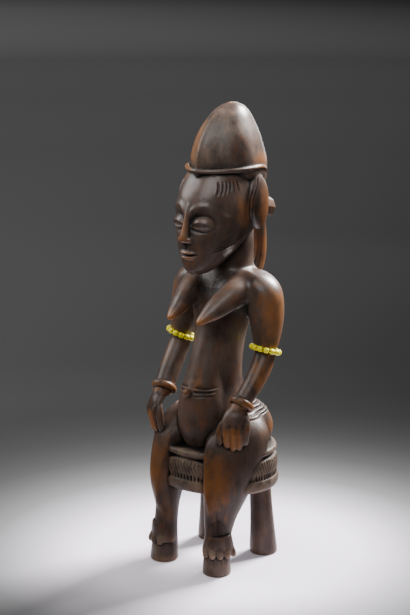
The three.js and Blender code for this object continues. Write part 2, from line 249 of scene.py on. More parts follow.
limbs = {"turn": math.radians(38), "voxel": 0.85, "blend": 20, "relax": 60, "relaxShare": 0.7}
buttockForm = ((17.5, 18.5, 104.8), (19.8, 21.4, 22))  # place and half sizes
trunkRows = [
    [272, 0, 18, 14, 14],
    [260, 0, 20.1, 17.2, 17.5],
    [246, 0, 20.6, 17.5, 17.8],
    [239, 0, 20.5, 17.2, 17.7],
    [232, 0, 20.3, 17.4, 17.7],
    [228.4, 0, 20, 19.8, 17.8],
    [225, 0, 18.6, 29.6, 18],
    [219, 0, 17.2, 33.5, 20],
    [207, 0, 14.2, 30.5, 20.8],
    [195, 0, 11.1, 24.4, 20.7],
    [183, 0, 8.2, 21, 20.2],
    [171, 0, 5.4, 19.6, 20.3],
    [160, 0, 3.6, 19.2, 20.6],
    [149, 0, 3, 18.8, 21],
    [139, 0, 3.6, 19.2, 22.4],
    [129, 0, 5.6, 24, 25.4],
    [119, 0, 7.4, 31, 29],
    [108, 0, 8, 34, 31],
    [97, 0, 8, 34, 30.5],
    [80, 0, 7, 30, 27],
]
bellyRows = [
    [194, 0, -5, 5, 3],
    [184, 0, -7, 8.6, 5.6],
    [172, 0, -9.4, 11.4, 8],
    [160, 0, -11.6, 13.4, 10.6],
    [149, 0, -12.6, 15.2, 13.8],
    [139, 0, -14, 16.8, 17.6],
    [129, 0, -15, 18.6, 18.4],
    [118, 0, -15, 19.6, 18],
    [106, 0, -14, 19, 17],
    [94, 0, -12, 16, 14],
    [84, 0, -10, 10, 9],
]
legRows = [
    [121, 26, 2, 8, 11, -22],
    [116, 27, -1, 13, 17.5, -26],
    [107, 28.5, -5.8, 16.5, 24, -28],
    [95, 29.2, -10.6, 16.8, 25.6, -25],
    [82, 29.4, -14.8, 15.6, 24, -20],
    [70, 29, -18.2, 14.2, 22.4, -16],
    [58, 28, -22, 12, 18, -18],
    [46, 26.4, -25.2, 9.6, 13.4, -32],
    [39, 25.5, -26.2, 8.6, 11.8, -38],
    [32, 25.1, -26.8, 8, 10.4, -42],
    [26, 25, -27.2, 7, 9, -44],
    [19, 25.4, -28, 6, 8, -46],
]
armRows = [
    [229.4, 21, 17, 6, 7],
    [226, 27, 17, 11.4, 11.6],
    [217, 33.4, 16.8, 14.5, 14.6],
    [204, 36.4, 16.4, 14.4, 14.6],
    [190, 38.4, 15.2, 12.8, 13],
    [179.5, 39.8, 13, 10.7, 11],
    [173.4, 40.7, 11.4, 9.2, 9.4],
    [170.4, 40.8, 10.6, 7.9, 8],
    [163, 41, 8, 8.6, 9.6],
    [151.5, 40.6, 0.5, 8.2, 10.6],
    [142.5, 39.4, -7, 8, 10.4],
    [135, 38, -13.6, 7.5, 9.8],
    [127, 36.4, -20.4, 7, 8.6],
]
breastRows = [  # from the tip back into the chest
    [-38.6, 13.8, 196, 1.4, 1.3],
    [-37.6, 13.9, 196.5, 2.5, 2.4],
    [-34.6, 14.3, 198, 3.9, 3.8],
    [-30, 15, 200.2, 5.6, 5.3],
    [-24, 16, 203.2, 7.6, 7.2],
    [-15, 17.8, 207.6, 9.9, 9.6],
    [-6, 19.6, 212, 11, 10.8],
    [2, 20.6, 214.6, 10.4, 10.4],
    [9, 21, 216, 8.4, 8.4],
]


def makeBody():
    trunk = stackForm("trunk", trunkRows, 32)
    belly = stackForm("belly", bellyRows, 28)
    buttock = roundForm("buttock", *buttockForm)
    leg = stackForm("leg", legRows, 48, steps=3, section=softSquare(2.15))
    arm = stackForm("arm", armRows, 24)
    breast = stackForm("breast", breastRows, 24, axis="Y")
    forms = [trunk, belly] + bothSides(buttock, leg, arm, breast)
    body = fuse("body", forms, limbs["voxel"], limbs["blend"])
    relaxFront(body)
    print("body made")
    return body


def relaxFront(body):  # lets the chest, shoulders, belly and hips flow into each other
    points, normals = readPoints(body)
    aside, back, height = places(points)
    chest = (1 - softStep(6, 14, back)) * softStep(196, 206, height) * (1 - softStep(226, 232, height))
    chest = chest * softStep(-24, -14, back) * (1 - softStep(29, 33, aside))
    belly = (1 - softStep(-2, 6, back)) * softStep(112, 124, height) * (1 - softStep(184, 196, height))
    belly = belly * (1 - softStep(24, 28, aside))
    hips = softStep(-18, -9, back) * softStep(108, 115, height) * (1 - softStep(136, 143, height))
    arms = softStep(29, 32, aside) * softStep(121, 125, height) * (1 - softStep(-4, 3, back))
    share = np.maximum(np.maximum(chest, belly), hips * (1 - arms)) * limbs["relaxShare"]
    relax(points, readEdges(body), share, limbs["relax"])
    writePoints(body, points)


# Head, hair, band, flaps, bun and tress

headRows = [
    [312, 0, 15, 20, 27],
    [305, 0, 13.6, 24, 31.6],
    [299, 0, 12.4, 25.6, 35.6],
    [289, 0, 9.8, 26.8, 39.6],
    [277, 0, 7.6, 27, 40.4],
    [266, 0, 4.5, 25.6, 38.3],
    [256, 0, -0.7, 22.6, 33.5],
    [247, 0, -6.3, 18.6, 27.2],
    [239, 0, -12.2, 14.2, 20.2],
    [233, 0, -16.7, 9.8, 13.8],
    [229.5, 0, -18.8, 4.8, 7.8],
]
hairRows = [
    [354.2, 0, 21.6, 3, 4],
    [351.6, 0, 20.3, 8.6, 11.2],
    [347, 0, 18.1, 13.2, 18.2],
    [340, 0, 16.2, 17.4, 24.2],
    [331, 0, 14.6, 21.8, 30],
    [321, 0, 13.9, 25, 33.8],
    [312, 0, 14.2, 27.1, 36],
    [303, 0, 14.8, 27.3, 36],
    [293, 0, 19.2, 24.6, 31.2],
    [281, 0, 23.3, 21, 25.3],
    [271, 0, 25, 16, 19],
]
flapRows = [
    [304, 25.2, 19, 1.4, 1.6],
    [298, 26, 19.1, 3.2, 7.7],
    [290, 26.6, 19.1, 3.8, 11.7],
    [281, 26.6, 19.5, 4, 12.7],
    [271, 25.4, 21.3, 3.8, 10.7],
    [263, 23.2, 24.4, 3.2, 6.8],
    [259, 22, 26, 1.6, 2.4],
]
bunRows = [
    [36, 0, 280, 12, 14],
    [48, 0, 275, 9.6, 11],
    [58, 0, 271, 7.6, 8.8],
    [66, 0, 268.6, 7.4, 8.4],
    [69, 0, 268, 6.6, 7.6],
    [69.6, 0, 268, 3, 3.4],
]
tressRows = [
    [274, 0, 53, 3.8, 5],
    [262, 0, 56, 4.6, 5.4],
    [250, 0, 57, 4.9, 5.8],
    [238, 0, 57, 5.1, 6],
    [227, 0, 55, 5.1, 6.8],
    [215, 0, 48, 5, 8.6],
    [206, 0, 39, 4.8, 9.4],
    [200, 0, 29, 4, 7],
]
band = {
    "middle": 14, "height": 307, "halfWidth": 26.7, "frontDepth": 35, "backDepth": 37.2, "backFlat": 5,
    "edge": 0.12, "rise": 0.9, "fall": 22, "roll": 2.05, "flat": 0.9,
}


def makeBand():
    plainRoll = 0.25  # the plain ring's, before it is shaped
    bpy.ops.mesh.primitive_torus_add(major_segments=120, minor_segments=14, major_radius=1, minor_radius=plainRoll)
    form = bpy.context.object
    form.name = "band"
    for point in form.data.vertices:
        angle = math.atan2(point.co.y, point.co.x)
        side, back = math.cos(angle), math.sin(angle)
        backward = max(back, 0)
        out = (math.hypot(point.co.x, point.co.y) - 1) / plainRoll * band["roll"]
        depth = band["frontDepth"] if back < 0 else band["backDepth"] - band["backFlat"] * backward
        across, along = edgedSection(band["edge"])(side, back)
        rise = band["rise"] * side**2 - band["fall"] * backward**3
        point.co = spot(
            across * band["halfWidth"] + side * out,
            band["middle"] + along * depth + back * out,
            band["height"] + rise + point.co.z / plainRoll * band["roll"] * band["flat"],
        )
    return form


noseRows = [
    [285, 0, -29.6, 1.5, 2],
    [278, 0, -31, 2.2, 3.2],
    [271, 0, -32.6, 2.5, 3.8],
    [264.6, 0, -34.2, 3, 4.3],
    [260, 0, -35.4, 4.1, 4.6],
    [257.4, 0, -35.4, 4.8, 4.3],
    [255.8, 0, -34.4, 4.4, 3.7],
    [255, 0, -33.6, 3, 2.6],
]
face = {"socket": 2.8, "socketSize": (10.4, 9.2), "socketPlace": (10.8, 271), "brow": 0.9, "browWidth": 3.4}
faceForms = {  # place, half sizes and turn in degrees
    "wing": ((3.8, -34.4, 257.8), (2.8, 3.5, 2.5)),
    "lid": ((10.8, -26.9, 269), (8.2, 4.6, 5.8), 33),
    "upperLip": ((0, -31.6, 247.6), (7.4, 4.3, 2.1)),
    "lowerLip": ((0, -31, 243.9), (6.8, 4.3, 2.1)),
    "chin": ((0, -26, 235.6), (7.4, 5.6, 4.6)),
}
browLine = [(1.4, 274), (4, 279.4), (8.4, 282.4), (13.6, 282.4), (18.4, 279.4), (21.6, 274)]


def shapeFace(head):  # hollows under arched brows, before the eyes and nose are added
    points, normals = readPoints(head)
    aside, back, height = places(points)
    near = np.where((back < 2) & (height > 236) & (height < 296))[0]
    (placeX, placeZ), (sizeX, sizeZ) = face["socketPlace"], face["socketSize"]
    reach = ((aside[near] - placeX) / sizeX) ** 2 + ((height[near] - placeZ) / sizeZ) ** 2
    away = pathDistance(np.column_stack([aside[near], height[near]]), browLine)[0]
    rise = dent(away, face["browWidth"], 2) * face["brow"]
    points[near] += normals[near] * (rise - np.clip(1 - reach, 0, 1) ** 1.1 * face["socket"])[:, None]
    writePoints(head, points)


def makeHead():
    head = stackForm("head", headRows, 32, section=softSquare(2.2), finish=3)
    shapeFace(head)
    hair = stackForm("hair", hairRows, 160, steps=6, section=edgedSection(0.42), finish=0)
    flap = stackForm("flap", flapRows, 20)
    bun = stackForm("bun", bunRows, 8, axis="Y", finish=0)
    tress = stackForm("tress", tressRows, 20)
    nose = stackForm("nose", noseRows, 24)
    wing, lid, upperLip, lowerLip, chin = (roundForm(name, *values) for name, values in faceForms.items())
    print("head and hair made")
    forms = [head, hair, makeBand(), bun, tress, nose, upperLip, lowerLip, chin]
    return forms + bothSides(flap, wing, lid)


# Hands, bracelets, feet and navel

hand = {"fingers": 4, "spacing": 5.5, "middle": 16.4, "root": 124, "length": 25, "gather": 0.2,
        "shorter": (2.2, 0, 0.8, 4), "fingerRadius": 2.75}
palmRows = [  # height, place across the limb and outwards, half width and half thickness
    [132, 17, 37.4, 6, 5.2], [127.4, 16.4, 40.8, 9, 5.6], [122.4, 16.2, 43, 11, 4.8], [118.6, 16.2, 42.9, 11, 4.2],
    [113, 16.3, 42.4, 10.2, 3.9], [107, 16.4, 42, 9, 3.5], [102.6, 16.4, 41.4, 7, 2.8],
]
fingerRows = [  # height, place outwards and share of the finger's radius
    [124, 42.6, 0.8], [120.4, 44.6, 1], [115, 45.6, 1.08], [108.6, 44.8, 1], [103, 43.6, 0.98],
    [100, 42.6, 0.88], [98.6, 42, 0.5],
]
thumbRows = [  # height, place across and outwards, radius twice
    [124, 8.4, 41.4, 2.6, 2.6], [117, 5, 42.2, 3.1, 3.1], [109, 4, 41.4, 3, 3], [104, 4.4, 40.4, 2.6, 2.6],
    [101.6, 4.7, 40, 1.4, 1.4],
]
bracelet = {"radius": 8.2, "wall": 1.95, "height": 1.42, "place": (37.8, -15, 133.4), "along": (-0.11, -0.62, -0.78)}
foot = {"across": 3.2, "toeRoot": 34, "toeFan": 26, "toeTurn": 6, "toeCount": 5, "narrow": 0.86}
skirtRows = [  # height, place outwards, half width and half depth
    [31.6, 38.2, 9.2, 9.4], [31, 38.5, 10.2, 10.1], [28, 39, 10.8, 10.1], [24, 39.3, 11.7, 10],
    [20, 39.4, 12.5, 10], [17, 39.3, 12.5, 9.8], [15.6, 39, 12, 9.4],
]
toeRows = [  # height, reach from the toes' root and radius
    [23.6, 12.6, 1.7], [21, 13.8, 2.6], [18.4, 14.8, 2.9], [16.2, 15.4, 2.5], [15, 15.6, 1.9], [14.4, 15.6, 1],
]
navelForm = ((0, -33.6, 139.5), (2.8, 3.4, 3.4))  # place and half sizes


def limbRow(height, across, out, halfWidth, halfDepth):
    x, y = turned(across, out)
    return [height, x, y, halfWidth, halfDepth, math.degrees(limbs["turn"])]


def makeHand():
    forms = [stackForm("palm", [limbRow(*row) for row in palmRows], 20)]
    for i in range(hand["fingers"]):
        beside, rows = (i - (hand["fingers"] - 1) / 2) * hand["spacing"], []
        for z, out, size in fingerRows:
            down, radius = (hand["root"] - z) / hand["length"], hand["fingerRadius"] * size
            across = hand["middle"] + beside * (1 - hand["gather"] * down)
            rows.append(limbRow(z + hand["shorter"][i] * down, across, out, radius, radius))
        forms.append(stackForm(f"finger{i}", rows, 14))
    forms.append(stackForm("thumb", [limbRow(*row) for row in thumbRows], 14))
    return forms


def makeBracelet():
    bpy.ops.mesh.primitive_torus_add(
        major_segments=56, minor_segments=18, major_radius=bracelet["radius"] * mm, minor_radius=bracelet["wall"] * mm
    )
    form = bpy.context.object
    form.name = "bracelet"
    along = Vector(bracelet["along"]).normalized()
    turn = Vector((0, 0, 1)).rotation_difference(along).to_matrix().to_4x4()
    taller = Matrix.Diagonal((1, 1, bracelet["height"], 1))
    form.data.transform(Matrix.Translation(spot(*bracelet["place"])) @ turn @ taller)
    return form


def makeFoot():
    forms = [stackForm("skirt", [limbRow(z, foot["across"], out, w, d) for z, out, w, d in skirtRows], 24)]
    for i in range(foot["toeCount"]):
        fan = math.radians((i - (foot["toeCount"] - 1) / 2) * foot["toeFan"] + foot["toeTurn"])
        rows = []
        for z, reach, radius in toeRows:
            across = foot["across"] + math.sin(fan) * reach * foot["narrow"]
            rows.append(limbRow(z, across, foot["toeRoot"] + math.cos(fan) * reach, radius, radius))
        forms.append(stackForm(f"toe{i}", rows, 14))
    return forms


# Stool: a round seat on four posts

stool = {"halfWidth": 50, "halfDepth": 42, "middle": 4}
seatProfile = [  # height and inset of each ring, from the top down
    [94.4, 9], [94.4, 3.8], [94, 2.4], [93, 1.4], [91.2, 1.1], [90, 1.7], [89.2, 3.2], [88.4, 4],
    [86.8, 4], [86.1, 1.8], [85.4, 0.9], [80.6, 0.5], [76.2, 0.6], [75.4, 1.1], [72, 1.3], [71.2, 0.2],
    [70, -0.3], [66, -0.3], [63.4, 0.4], [62.3, 1.6], [62, 3], [62, 9],
]
postRows = [  # height, place to the side and forwards, radius
    [70, 23.7, 26.6, 8.4], [55, 24.3, 27.4, 8.4], [40, 24.8, 28.2, 8.7], [22, 25.4, 29.2, 9.5],
    [8, 25.8, 29.7, 10.7], [1.6, 26, 30, 11], [0.4, 26, 30, 10.8], [0, 26, 30, 10],
]


def makeStool():
    middle, halfWidth, halfDepth = stool["middle"], stool["halfWidth"], stool["halfDepth"]
    rows = [[z, 0, middle, halfWidth - inset, halfDepth - inset] for z, inset in seatProfile]
    seat = stackForm("seat", rows, 120, steps=1)
    posts = []
    for end in (-1, 1):
        rows = [[z, x, end * y, radius, radius] for z, x, y, radius in postRows]
        posts.append(stackForm("post", rows, 32, steps=1))
    return [seat] + bothSides(*posts)


# The whole carving as one skin

block = {"voxel": 0.55, "rounds": 3, "triangles": 196000}


def makeCarving():
    forms = [makeBody()] + makeHead() + makeStool()
    print("main forms made")
    forms += bothSides(*makeHand(), makeBracelet(), *makeFoot())
    forms.append(roundForm("navel", *navelForm))
    print("hands, feet and navel made")
    whole = fuse("carving", forms, block["voxel"], block["rounds"])
    print("joined into one skin:", len(whole.data.vertices), "points")
    return whole


# Fine carving cut into the skin. Lines on the face and trunk are drawn from the front, as
# distance from the middle and height, and strokes on the head from the side, as y and z.

faceCuts = {"lidWidth": 1, "lidRim": 0.55, "slit": 0.9, "slitPlace": (10.8, 268.4), "slitSize": (6, 2),
            "mouthWidth": 1.1, "mouthDepth": 0.9, "grooveWidth": 1.3, "grooveDepth": 0.5}
upperLid = [(3.6, 267.8), (6.6, 270.4), (10.8, 271.4), (15, 270.4), (18, 268)]
lowerLid = [(3.6, 267.8), (6.6, 266.2), (10.8, 265.4), (15, 266.2), (18, 268)]
mouthLine = [(0, 245.8), (4, 245.9), (7.6, 246.3)]
grooveLine = [(0, 254.4), (0, 250.4)]  # from the nose to the lip


def cutFace(points, normals):
    aside, back, height = places(points)
    front = np.where((back < -10) & (height > 228.5) & (height < 300))[0]
    flat = np.column_stack([aside[front], height[front]])
    rim = np.zeros(len(front))
    for line in (upperLid, lowerLid):
        rim = np.maximum(rim, dent(pathDistance(flat, line)[0], faceCuts["lidWidth"], 1.5))
    (placeX, placeZ), (sizeX, sizeZ) = faceCuts["slitPlace"], faceCuts["slitSize"]
    reach = ((flat[:, 0] - placeX) / sizeX) ** 2 + ((flat[:, 1] - placeZ) / sizeZ) ** 2
    opening = np.clip(1 - reach, 0, 1) ** 0.6
    mouth = dent(pathDistance(flat, mouthLine)[0], faceCuts["mouthWidth"], 1.5)
    groove = dent(pathDistance(flat, grooveLine)[0], faceCuts["grooveWidth"], 2) * faceCuts["grooveDepth"]
    depth = opening * faceCuts["slit"] + mouth * faceCuts["mouthDepth"] + groove - rim * faceCuts["lidRim"]
    points[front] -= normals[front] * depth[:, None]


strokes = {  # width, depth and lip of each kind, and how they are laid out
    "temple": (0.95, 0.75, 0.25), "jaw": (0.85, 0.65, 0.2), "flap": (0.8, 0.55, 0.2),
    "templeLow": 299.6, "templeMiddle": 295, "templeHigh": 299.8, "templeBend": 0.7,
    "jawCount": 4, "flapInsets": (1.6, 3.6),
}
templeStrokes = [  # place from front to back, lean and length
    (-17.4, 2.6, 9.6), (-14.8, 2.4, 9.8), (-12.1, 2, 9.6), (-9.2, 1.4, 9), (-6.1, 0.8, 8), (-2.8, 0.2, 7),
]
jawFan = [(-27, 247, 2, 2.3), (-14, 249.6, 1, 2.3), (-2, 253.4, 0, 2.4), (8, 260, 0, 2.4)]  # y and z, and their steps
flapLine = [(17.6, 301, 0), (9.6, 293, 1), (6.2, 285, 1), (6.4, 276, 1), (11, 267, 1)]  # y, z and share of the inset


def cutStroke(points, normals, near, path, width, depth, lip):  # fades out at both ends
    away, share = pathDistance(points[near][:, [1, 2]], path)
    ends = np.clip(np.minimum(share, 1 - share) / 0.3, 0, 1) ** 0.5
    cut = dent(away, width, 2) * depth
    rim = dent(away - width * 1.25, width * 0.7, 1) * lip
    points[near] -= normals[near] * ((cut - rim) * ends)[:, None]


def cutHead(points, normals):
    low, middle, high = (strokes[name] for name in ("templeLow", "templeMiddle", "templeHigh"))
    for side in (-1, 1):
        out, back, height = points[:, 0] * side, points[:, 1], points[:, 2]
        near = np.where((out > 9) & (height > 236) & (height < 303) & (back < 12))[0]
        for y, lean, length in templeStrokes:
            path = [(y - lean, low - length), (y, middle), (y + lean * strokes["templeBend"], high)]
            cutStroke(points, normals, near, path, *strokes["temple"])
        for k in range(strokes["jawCount"]):
            path = [(y + stepY * k, z + stepZ * k) for y, z, stepY, stepZ in jawFan]
            cutStroke(points, normals, near, path, *strokes["jaw"])
        out = points[:, 0] * side
        flap = np.where((out > 21) & (height > 258) & (height < 304) & (back > 2))[0]
        for inset in strokes["flapInsets"]:
            path = [(y + inset * share, z) for y, z, share in flapLine]
            cutStroke(points, normals, flap, path, *strokes["flap"])


tressCuts = {"spacing": 2.6, "depth": 0.55}


def cutTress(points, normals):
    near = np.where((points[:, 1] > 36) & (points[:, 2] > 196) & (points[:, 2] < 262))[0]
    x = points[near, 0]
    strands = np.abs(np.sin(x * math.pi / tressCuts["spacing"])) ** 0.6 - 0.6
    level = softStep(196, 206, points[near, 2]) * (1 - softStep(254, 262, points[near, 2]))
    points[near] += normals[near] * (strands * level * tressCuts["depth"])[:, None]


navelLines = [(3.2, 0.6), (1.8, -0.65), (0.3, 0.6), (-1.3, -0.65), (-2.7, 0.4)]  # height and depth, raised below 0
chestCuts = {"rows": 3, "count": 5, "start": (1.4, 211.6), "step": (2.3, 0.35), "rowStep": (0.6, 5.2),
             "stroke": (1.6, 3.6), "width": 0.75, "depth": 0.18}


def cutTrunk(points, normals):  # the lines beside the navel and the hatching on the chest
    aside, back, height = places(points)
    front = np.where((back < 2) & (height > 132) & (height < 147) & (aside < 18))[0]
    flat = np.column_stack([aside[front], height[front]])
    for rise, size in navelLines:
        away, share = pathDistance(flat, [(2.8, 139.5 + rise * 1.1), (9, 139.4 + rise), (16, 139.2 + rise * 0.9)])
        ends = np.clip(np.minimum(share, 1 - share) / 0.12, 0, 1)
        points[front] -= normals[front] * (dent(away, 1, 1.5) * size * ends)[:, None]
    chest = np.where((back < 8) & (height > 206) & (height < 230) & (aside < 16))[0]
    flat = np.column_stack([aside[chest], height[chest]])
    (startX, startZ), (stepX, stepZ) = chestCuts["start"], chestCuts["step"]
    (rowX, rowZ), (strokeX, strokeZ) = chestCuts["rowStep"], chestCuts["stroke"]
    for row in range(chestCuts["rows"]):
        for k in range(chestCuts["count"]):
            x, z = startX + stepX * k + rowX * row, startZ + rowZ * row + stepZ * k
            away = pathDistance(flat, [(x, z), (x + strokeX, z + strokeZ)])[0]
            points[chest] -= normals[chest] * (dent(away, chestCuts["width"], 1.5) * chestCuts["depth"])[:, None]


belt = {"top": 128.7, "spacing": 2.3, "rise": 1.35, "even": 60}


def cutHips(points, normals, edges):  # the strands of the belt round the hips
    level = spreadOut(points[:, 2:], edges, belt["even"])[:, 0]  # an evened height keeps the strands straight
    hips = np.where((points[:, 1] > -9) & (level > 112) & (level < 134) & (np.abs(points[:, 0]) < 46))[0]
    aside, back, height = places(points[hips])
    step = (belt["top"] - level[hips]) / belt["spacing"]
    inside = softStep(-0.15, 0.1, step) * (1 - softStep(4.95, 5.2, step))
    wrist = softStep(27, 30, aside) * (1 - softStep(-3, 3, back)) * softStep(119, 122, height)
    inside = inside * (1 - wrist) * softStep(-9, -2, back)
    strands = np.abs(np.sin(step * math.pi)) ** 0.7 * belt["rise"] - 0.8
    points[hips] += normals[hips] * (strands * inside)[:, None]


legRoom = {"teeth": 1.22, "skin": 1.15}  # how far round a leg its skin reaches, 1 being the leg's own rows


def insideLegs(points, reach):  # true for points on or in the legs, which the seat's teeth leave alone
    rows = np.array(sorted(legRows))
    x, y, width, depth, turn = (np.interp(points[:, 2], rows[:, 0], rows[:, k]) for k in (1, 2, 3, 4, 5))
    away, along, turn = np.abs(points[:, 0]) - x, points[:, 1] - y, np.radians(turn)
    aside = np.cos(turn) * away + np.sin(turn) * along
    ahead = np.cos(turn) * along - np.sin(turn) * away
    return (aside / width) ** 2 + (ahead / depth) ** 2 < reach


seatCuts = {"teeth": 98, "toothWidth": 0.27, "toothDepth": 1.3, "topDepth": 0.8,
            "hatchWidth": 0.3, "hatchDepth": 0.5, "hatchSlant": 0.16, "uneven": 0.35}


def cutSeat(points, normals):  # teeth under and over a hatched band, all round the seat's side
    x, y, z = points[:, 0] / stool["halfWidth"], (points[:, 1] - stool["middle"]) / stool["halfDepth"], points[:, 2]
    rho = np.hypot(x, y)
    out = np.column_stack([x, y]) / np.maximum(rho, 1e-6)[:, None]
    facing = (out * normals[:, :2]).sum(1)
    near = np.where((rho > 0.93) & (rho < 1.02) & (z > 70) & (z < 88) & (facing > 0.55))[0]
    near = near[~insideLegs(points[near], legRoom["teeth"])]
    turn = np.arctan2(y[near], x[near]) / (2 * math.pi) * seatCuts["teeth"]
    level = z[near]
    uneven = 1 + seatCuts["uneven"] * np.sin(turn * 0.73) * np.sin(turn * 0.31 + 1)
    tooth = dent(np.abs((turn % 1) - 0.5), seatCuts["toothWidth"], 1)
    hatch = dent(np.abs(((turn + (level - 76) * seatCuts["hatchSlant"]) % 1) - 0.5), seatCuts["hatchWidth"], 1)
    low = softStep(71.2, 71.9, level) * (1 - softStep(75.2, 77, level))
    middle = softStep(76.4, 77.4, level) * (1 - softStep(82.8, 83.6, level))
    high = softStep(83.2, 83.8, level) * (1 - softStep(86.4, 87, level))
    cut = tooth * low * seatCuts["toothDepth"] + hatch * middle * seatCuts["hatchDepth"]
    cut = (cut + tooth * high * seatCuts["topDepth"]) * uneven
    points[near, :2] -= out[near] * cut[:, None]


crests = {"shinWide": (5, 1), "shinFine": (1.8, 0.6), "shinFade": 14, "keel": (2.2, 0.5)}  # width and height
shinEdge = [
    (17, -30.5, 107), (18, -34.5, 95), (21, -38.2, 82), (23, -39.8, 70), (25, -39.6, 58), (27, -37.6, 46),
    (28.6, -36.4, 39),
]


def crest(points, normals, path, width, height, fade=0.1):  # sharpens an edge along a path that runs downwards
    top, end = path[0][2], path[-1][2]
    near = np.where(np.abs(points[:, 2] - (top + end) / 2) < abs(top - end) / 2 + 4)[0]
    away = pathDistance(points[near], path)[0]
    fading = np.clip((points[near, 2] - end) / fade, 0, 1)
    points[near] += normals[near] * (np.clip(1 - away / width, 0, 1) * height * fading)[:, None]


def cutRelief(whole):
    points, normals = readPoints(whole)
    edges = readEdges(whole)
    cutHips(points, normals, edges)
    for cut in (cutFace, cutHead, cutTress, cutTrunk, cutSeat):
        cut(points, normals)
    for side in (-1, 1):
        path = [(side * x, y, z) for x, y, z in shinEdge]
        for name in ("shinWide", "shinFine"):
            crest(points, normals, path, *crests[name], crests["shinFade"])
    keel = [(0, y - depth, z) for z, x, y, width, depth in hairRows[2:8]]
    crest(points, normals, keel, *crests["keel"])
    legs = insideLegs(points, legRoom["skin"]) & (points[:, 2] > 62) & (points[:, 2] < 100)
    relax(points, edges, legs * 0.6, 8)
    points[:, 2] = np.maximum(points[:, 2], 0)
    writePoints(whole, points)
    print("relief cut")


def leanDown(piece, triangles):
    have = sum(len(face.vertices) - 2 for face in piece.data.polygons)
    if have > triangles:
        applyModifier(piece, "DECIMATE", ratio=triangles / have)
    print("thinned from", have, "to", len(piece.data.polygons), "triangles")


carving = makeCarving()
cutRelief(carving)
leanDown(carving, block["triangles"])
activate(carving)
bpy.ops.object.shade_smooth()


# How worn each point of the skin is, where painted shade darkens it, and where dust and a painted
# sheen lighten it. Each place is x, y, z, its reach in x, y and z, and its strength, and lies on both
# sides unless x is 0 or less.

wornPlaces = [
    (-14, -12, 326, 15, 26, 30, 1.2), (24, 26, 312, 12, 16, 9, 0.7), (24, 4, 276, 9, 12, 18, 0.55),
    (0, -36, 262, 7, 8, 20, 0.5), (0, -30, 244, 10, 8, 9, 0.45), (13.8, -38, 196, 7, 9, 5, 0.95),
    (16, -24, 198, 9, 18, 6, 0.75), (46, 10, 194, 13, 18, 27, 0.55), (44, 2, 152, 8, 15, 20, 0.65),
    (37.8, -15, 133.4, 13, 12, 8, 0.9), (38, -27, 108, 11, 11, 12, 0.95), (28, -36, 74, 19, 18, 28, 0.62),
    (26, -34, 50, 18, 18, 24, 0.4), (0, -30, 152, 10, 10, 18, 0.45), (26, 30, 34, 10, 12, 30, 0.6),
    (0, 57, 236, 8, 10, 26, 0.9), (27, 24, 276, 6, 8, 20, 0.6), (30, 30, 100, 20, 16, 20, 0.4),
]
# dust on the seat and at the feet, and a painted sheen on the hair
dustAndSheenPlaces = [
    (0, 4, 86, 100, 90, 19, 0.95), (0, 4, 70, 100, 90, 19, 0.85), (14, -12, 330, 30, 42, 30, 0.42),
    (30, -40, 17, 16, 14, 9, 0.7), (26, -30, 3, 14, 14, 7, 0.6), (26, 30, 3, 14, 14, 7, 0.5),
]
paintedShadePlaces = [(0, -6, 218, 17, 18, 17, 0.6), (0, -16, 100, 16, 22, 14, 0.4)]  # painted shade under the chin and in the lap
wear = {  # rounds of spreading, then how steeply a fold shows as painted shade or wear, where it starts and how strong it is
    "nearRounds": 3, "wideRounds": 30, "nearPaintedShade": (5, 0, 0.7), "widePaintedShade": (1.1, 0.05, 0.8),
    "nearEdge": (4, 0, 0.5), "wideEdge": (0.8, 0.1, 0.35), "edgeWorn": 0.6, "flatDustAndSheen": 0.75, "dustAndSheenFrom": 40,
    "most": 1.2,
}


def placeShare(points, spots):
    share = np.zeros(len(points))
    for x, y, z, sizeX, sizeY, sizeZ, strength in spots:
        aside = np.abs(points[:, 0]) if x > 0 else points[:, 0]
        away = ((aside - x) / sizeX) ** 2 + ((points[:, 1] - y) / sizeY) ** 2 + ((points[:, 2] - z) / sizeZ) ** 2
        share = np.maximum(share, np.clip(1 - away, 0, 1) ** 0.7 * strength)
    return share


def foldShare(fold, gain, start, strength):
    return np.clip(fold * gain - start, 0, 1) * strength


def markSkin(piece):
    points, normals = readPoints(piece)
    edges = readEdges(piece)
    near = ((spreadOut(points, edges, wear["nearRounds"]) - points) * normals).sum(1)
    wide = ((spreadOut(points, edges, wear["wideRounds"]) - points) * normals).sum(1)
    # painted shade where the skin sinks below its neighbours, in hollows and creases
    paintedShade = foldShare(near, *wear["nearPaintedShade"]) + foldShare(wide, *wear["widePaintedShade"])
    edge = foldShare(-near, *wear["nearEdge"]) + foldShare(-wide, *wear["wideEdge"])
    # more painted shade under the chin and in the lap
    paintedShade += placeShare(points, paintedShadePlaces)
    worn = placeShare(points, wornPlaces) + edge * wear["edgeWorn"]
    aboveFeet = insideLegs(points, legRoom["skin"]) & (points[:, 2] > wear["dustAndSheenFrom"])
    # dust, and a painted sheen on the hair
    dustAndSheen = placeShare(points, dustAndSheenPlaces) * np.clip(wear["flatDustAndSheen"] + edge, 0, 1) * np.where(aboveFeet, 0, 1)
    for name, values in (("worn", worn), ("paintedShade", paintedShade), ("dustAndSheen", dustAndSheen)):
        values = spreadOut(np.clip(values, 0, wear["most"])[:, None], edges, 1)[:, 0]
        mark = piece.data.attributes.new(name, "FLOAT", "POINT")
        mark.data.foreach_set("value", values.astype(np.float32))


markSkin(carving)
print("carving finished")


# Short ways to the nodes that the materials share

def newMaterial(name):
    material = bpy.data.materials.new(name)
    material.use_nodes = True
    nodes = material.node_tree.nodes
    return material, nodes, material.node_tree.links, nodes["Principled BSDF"]


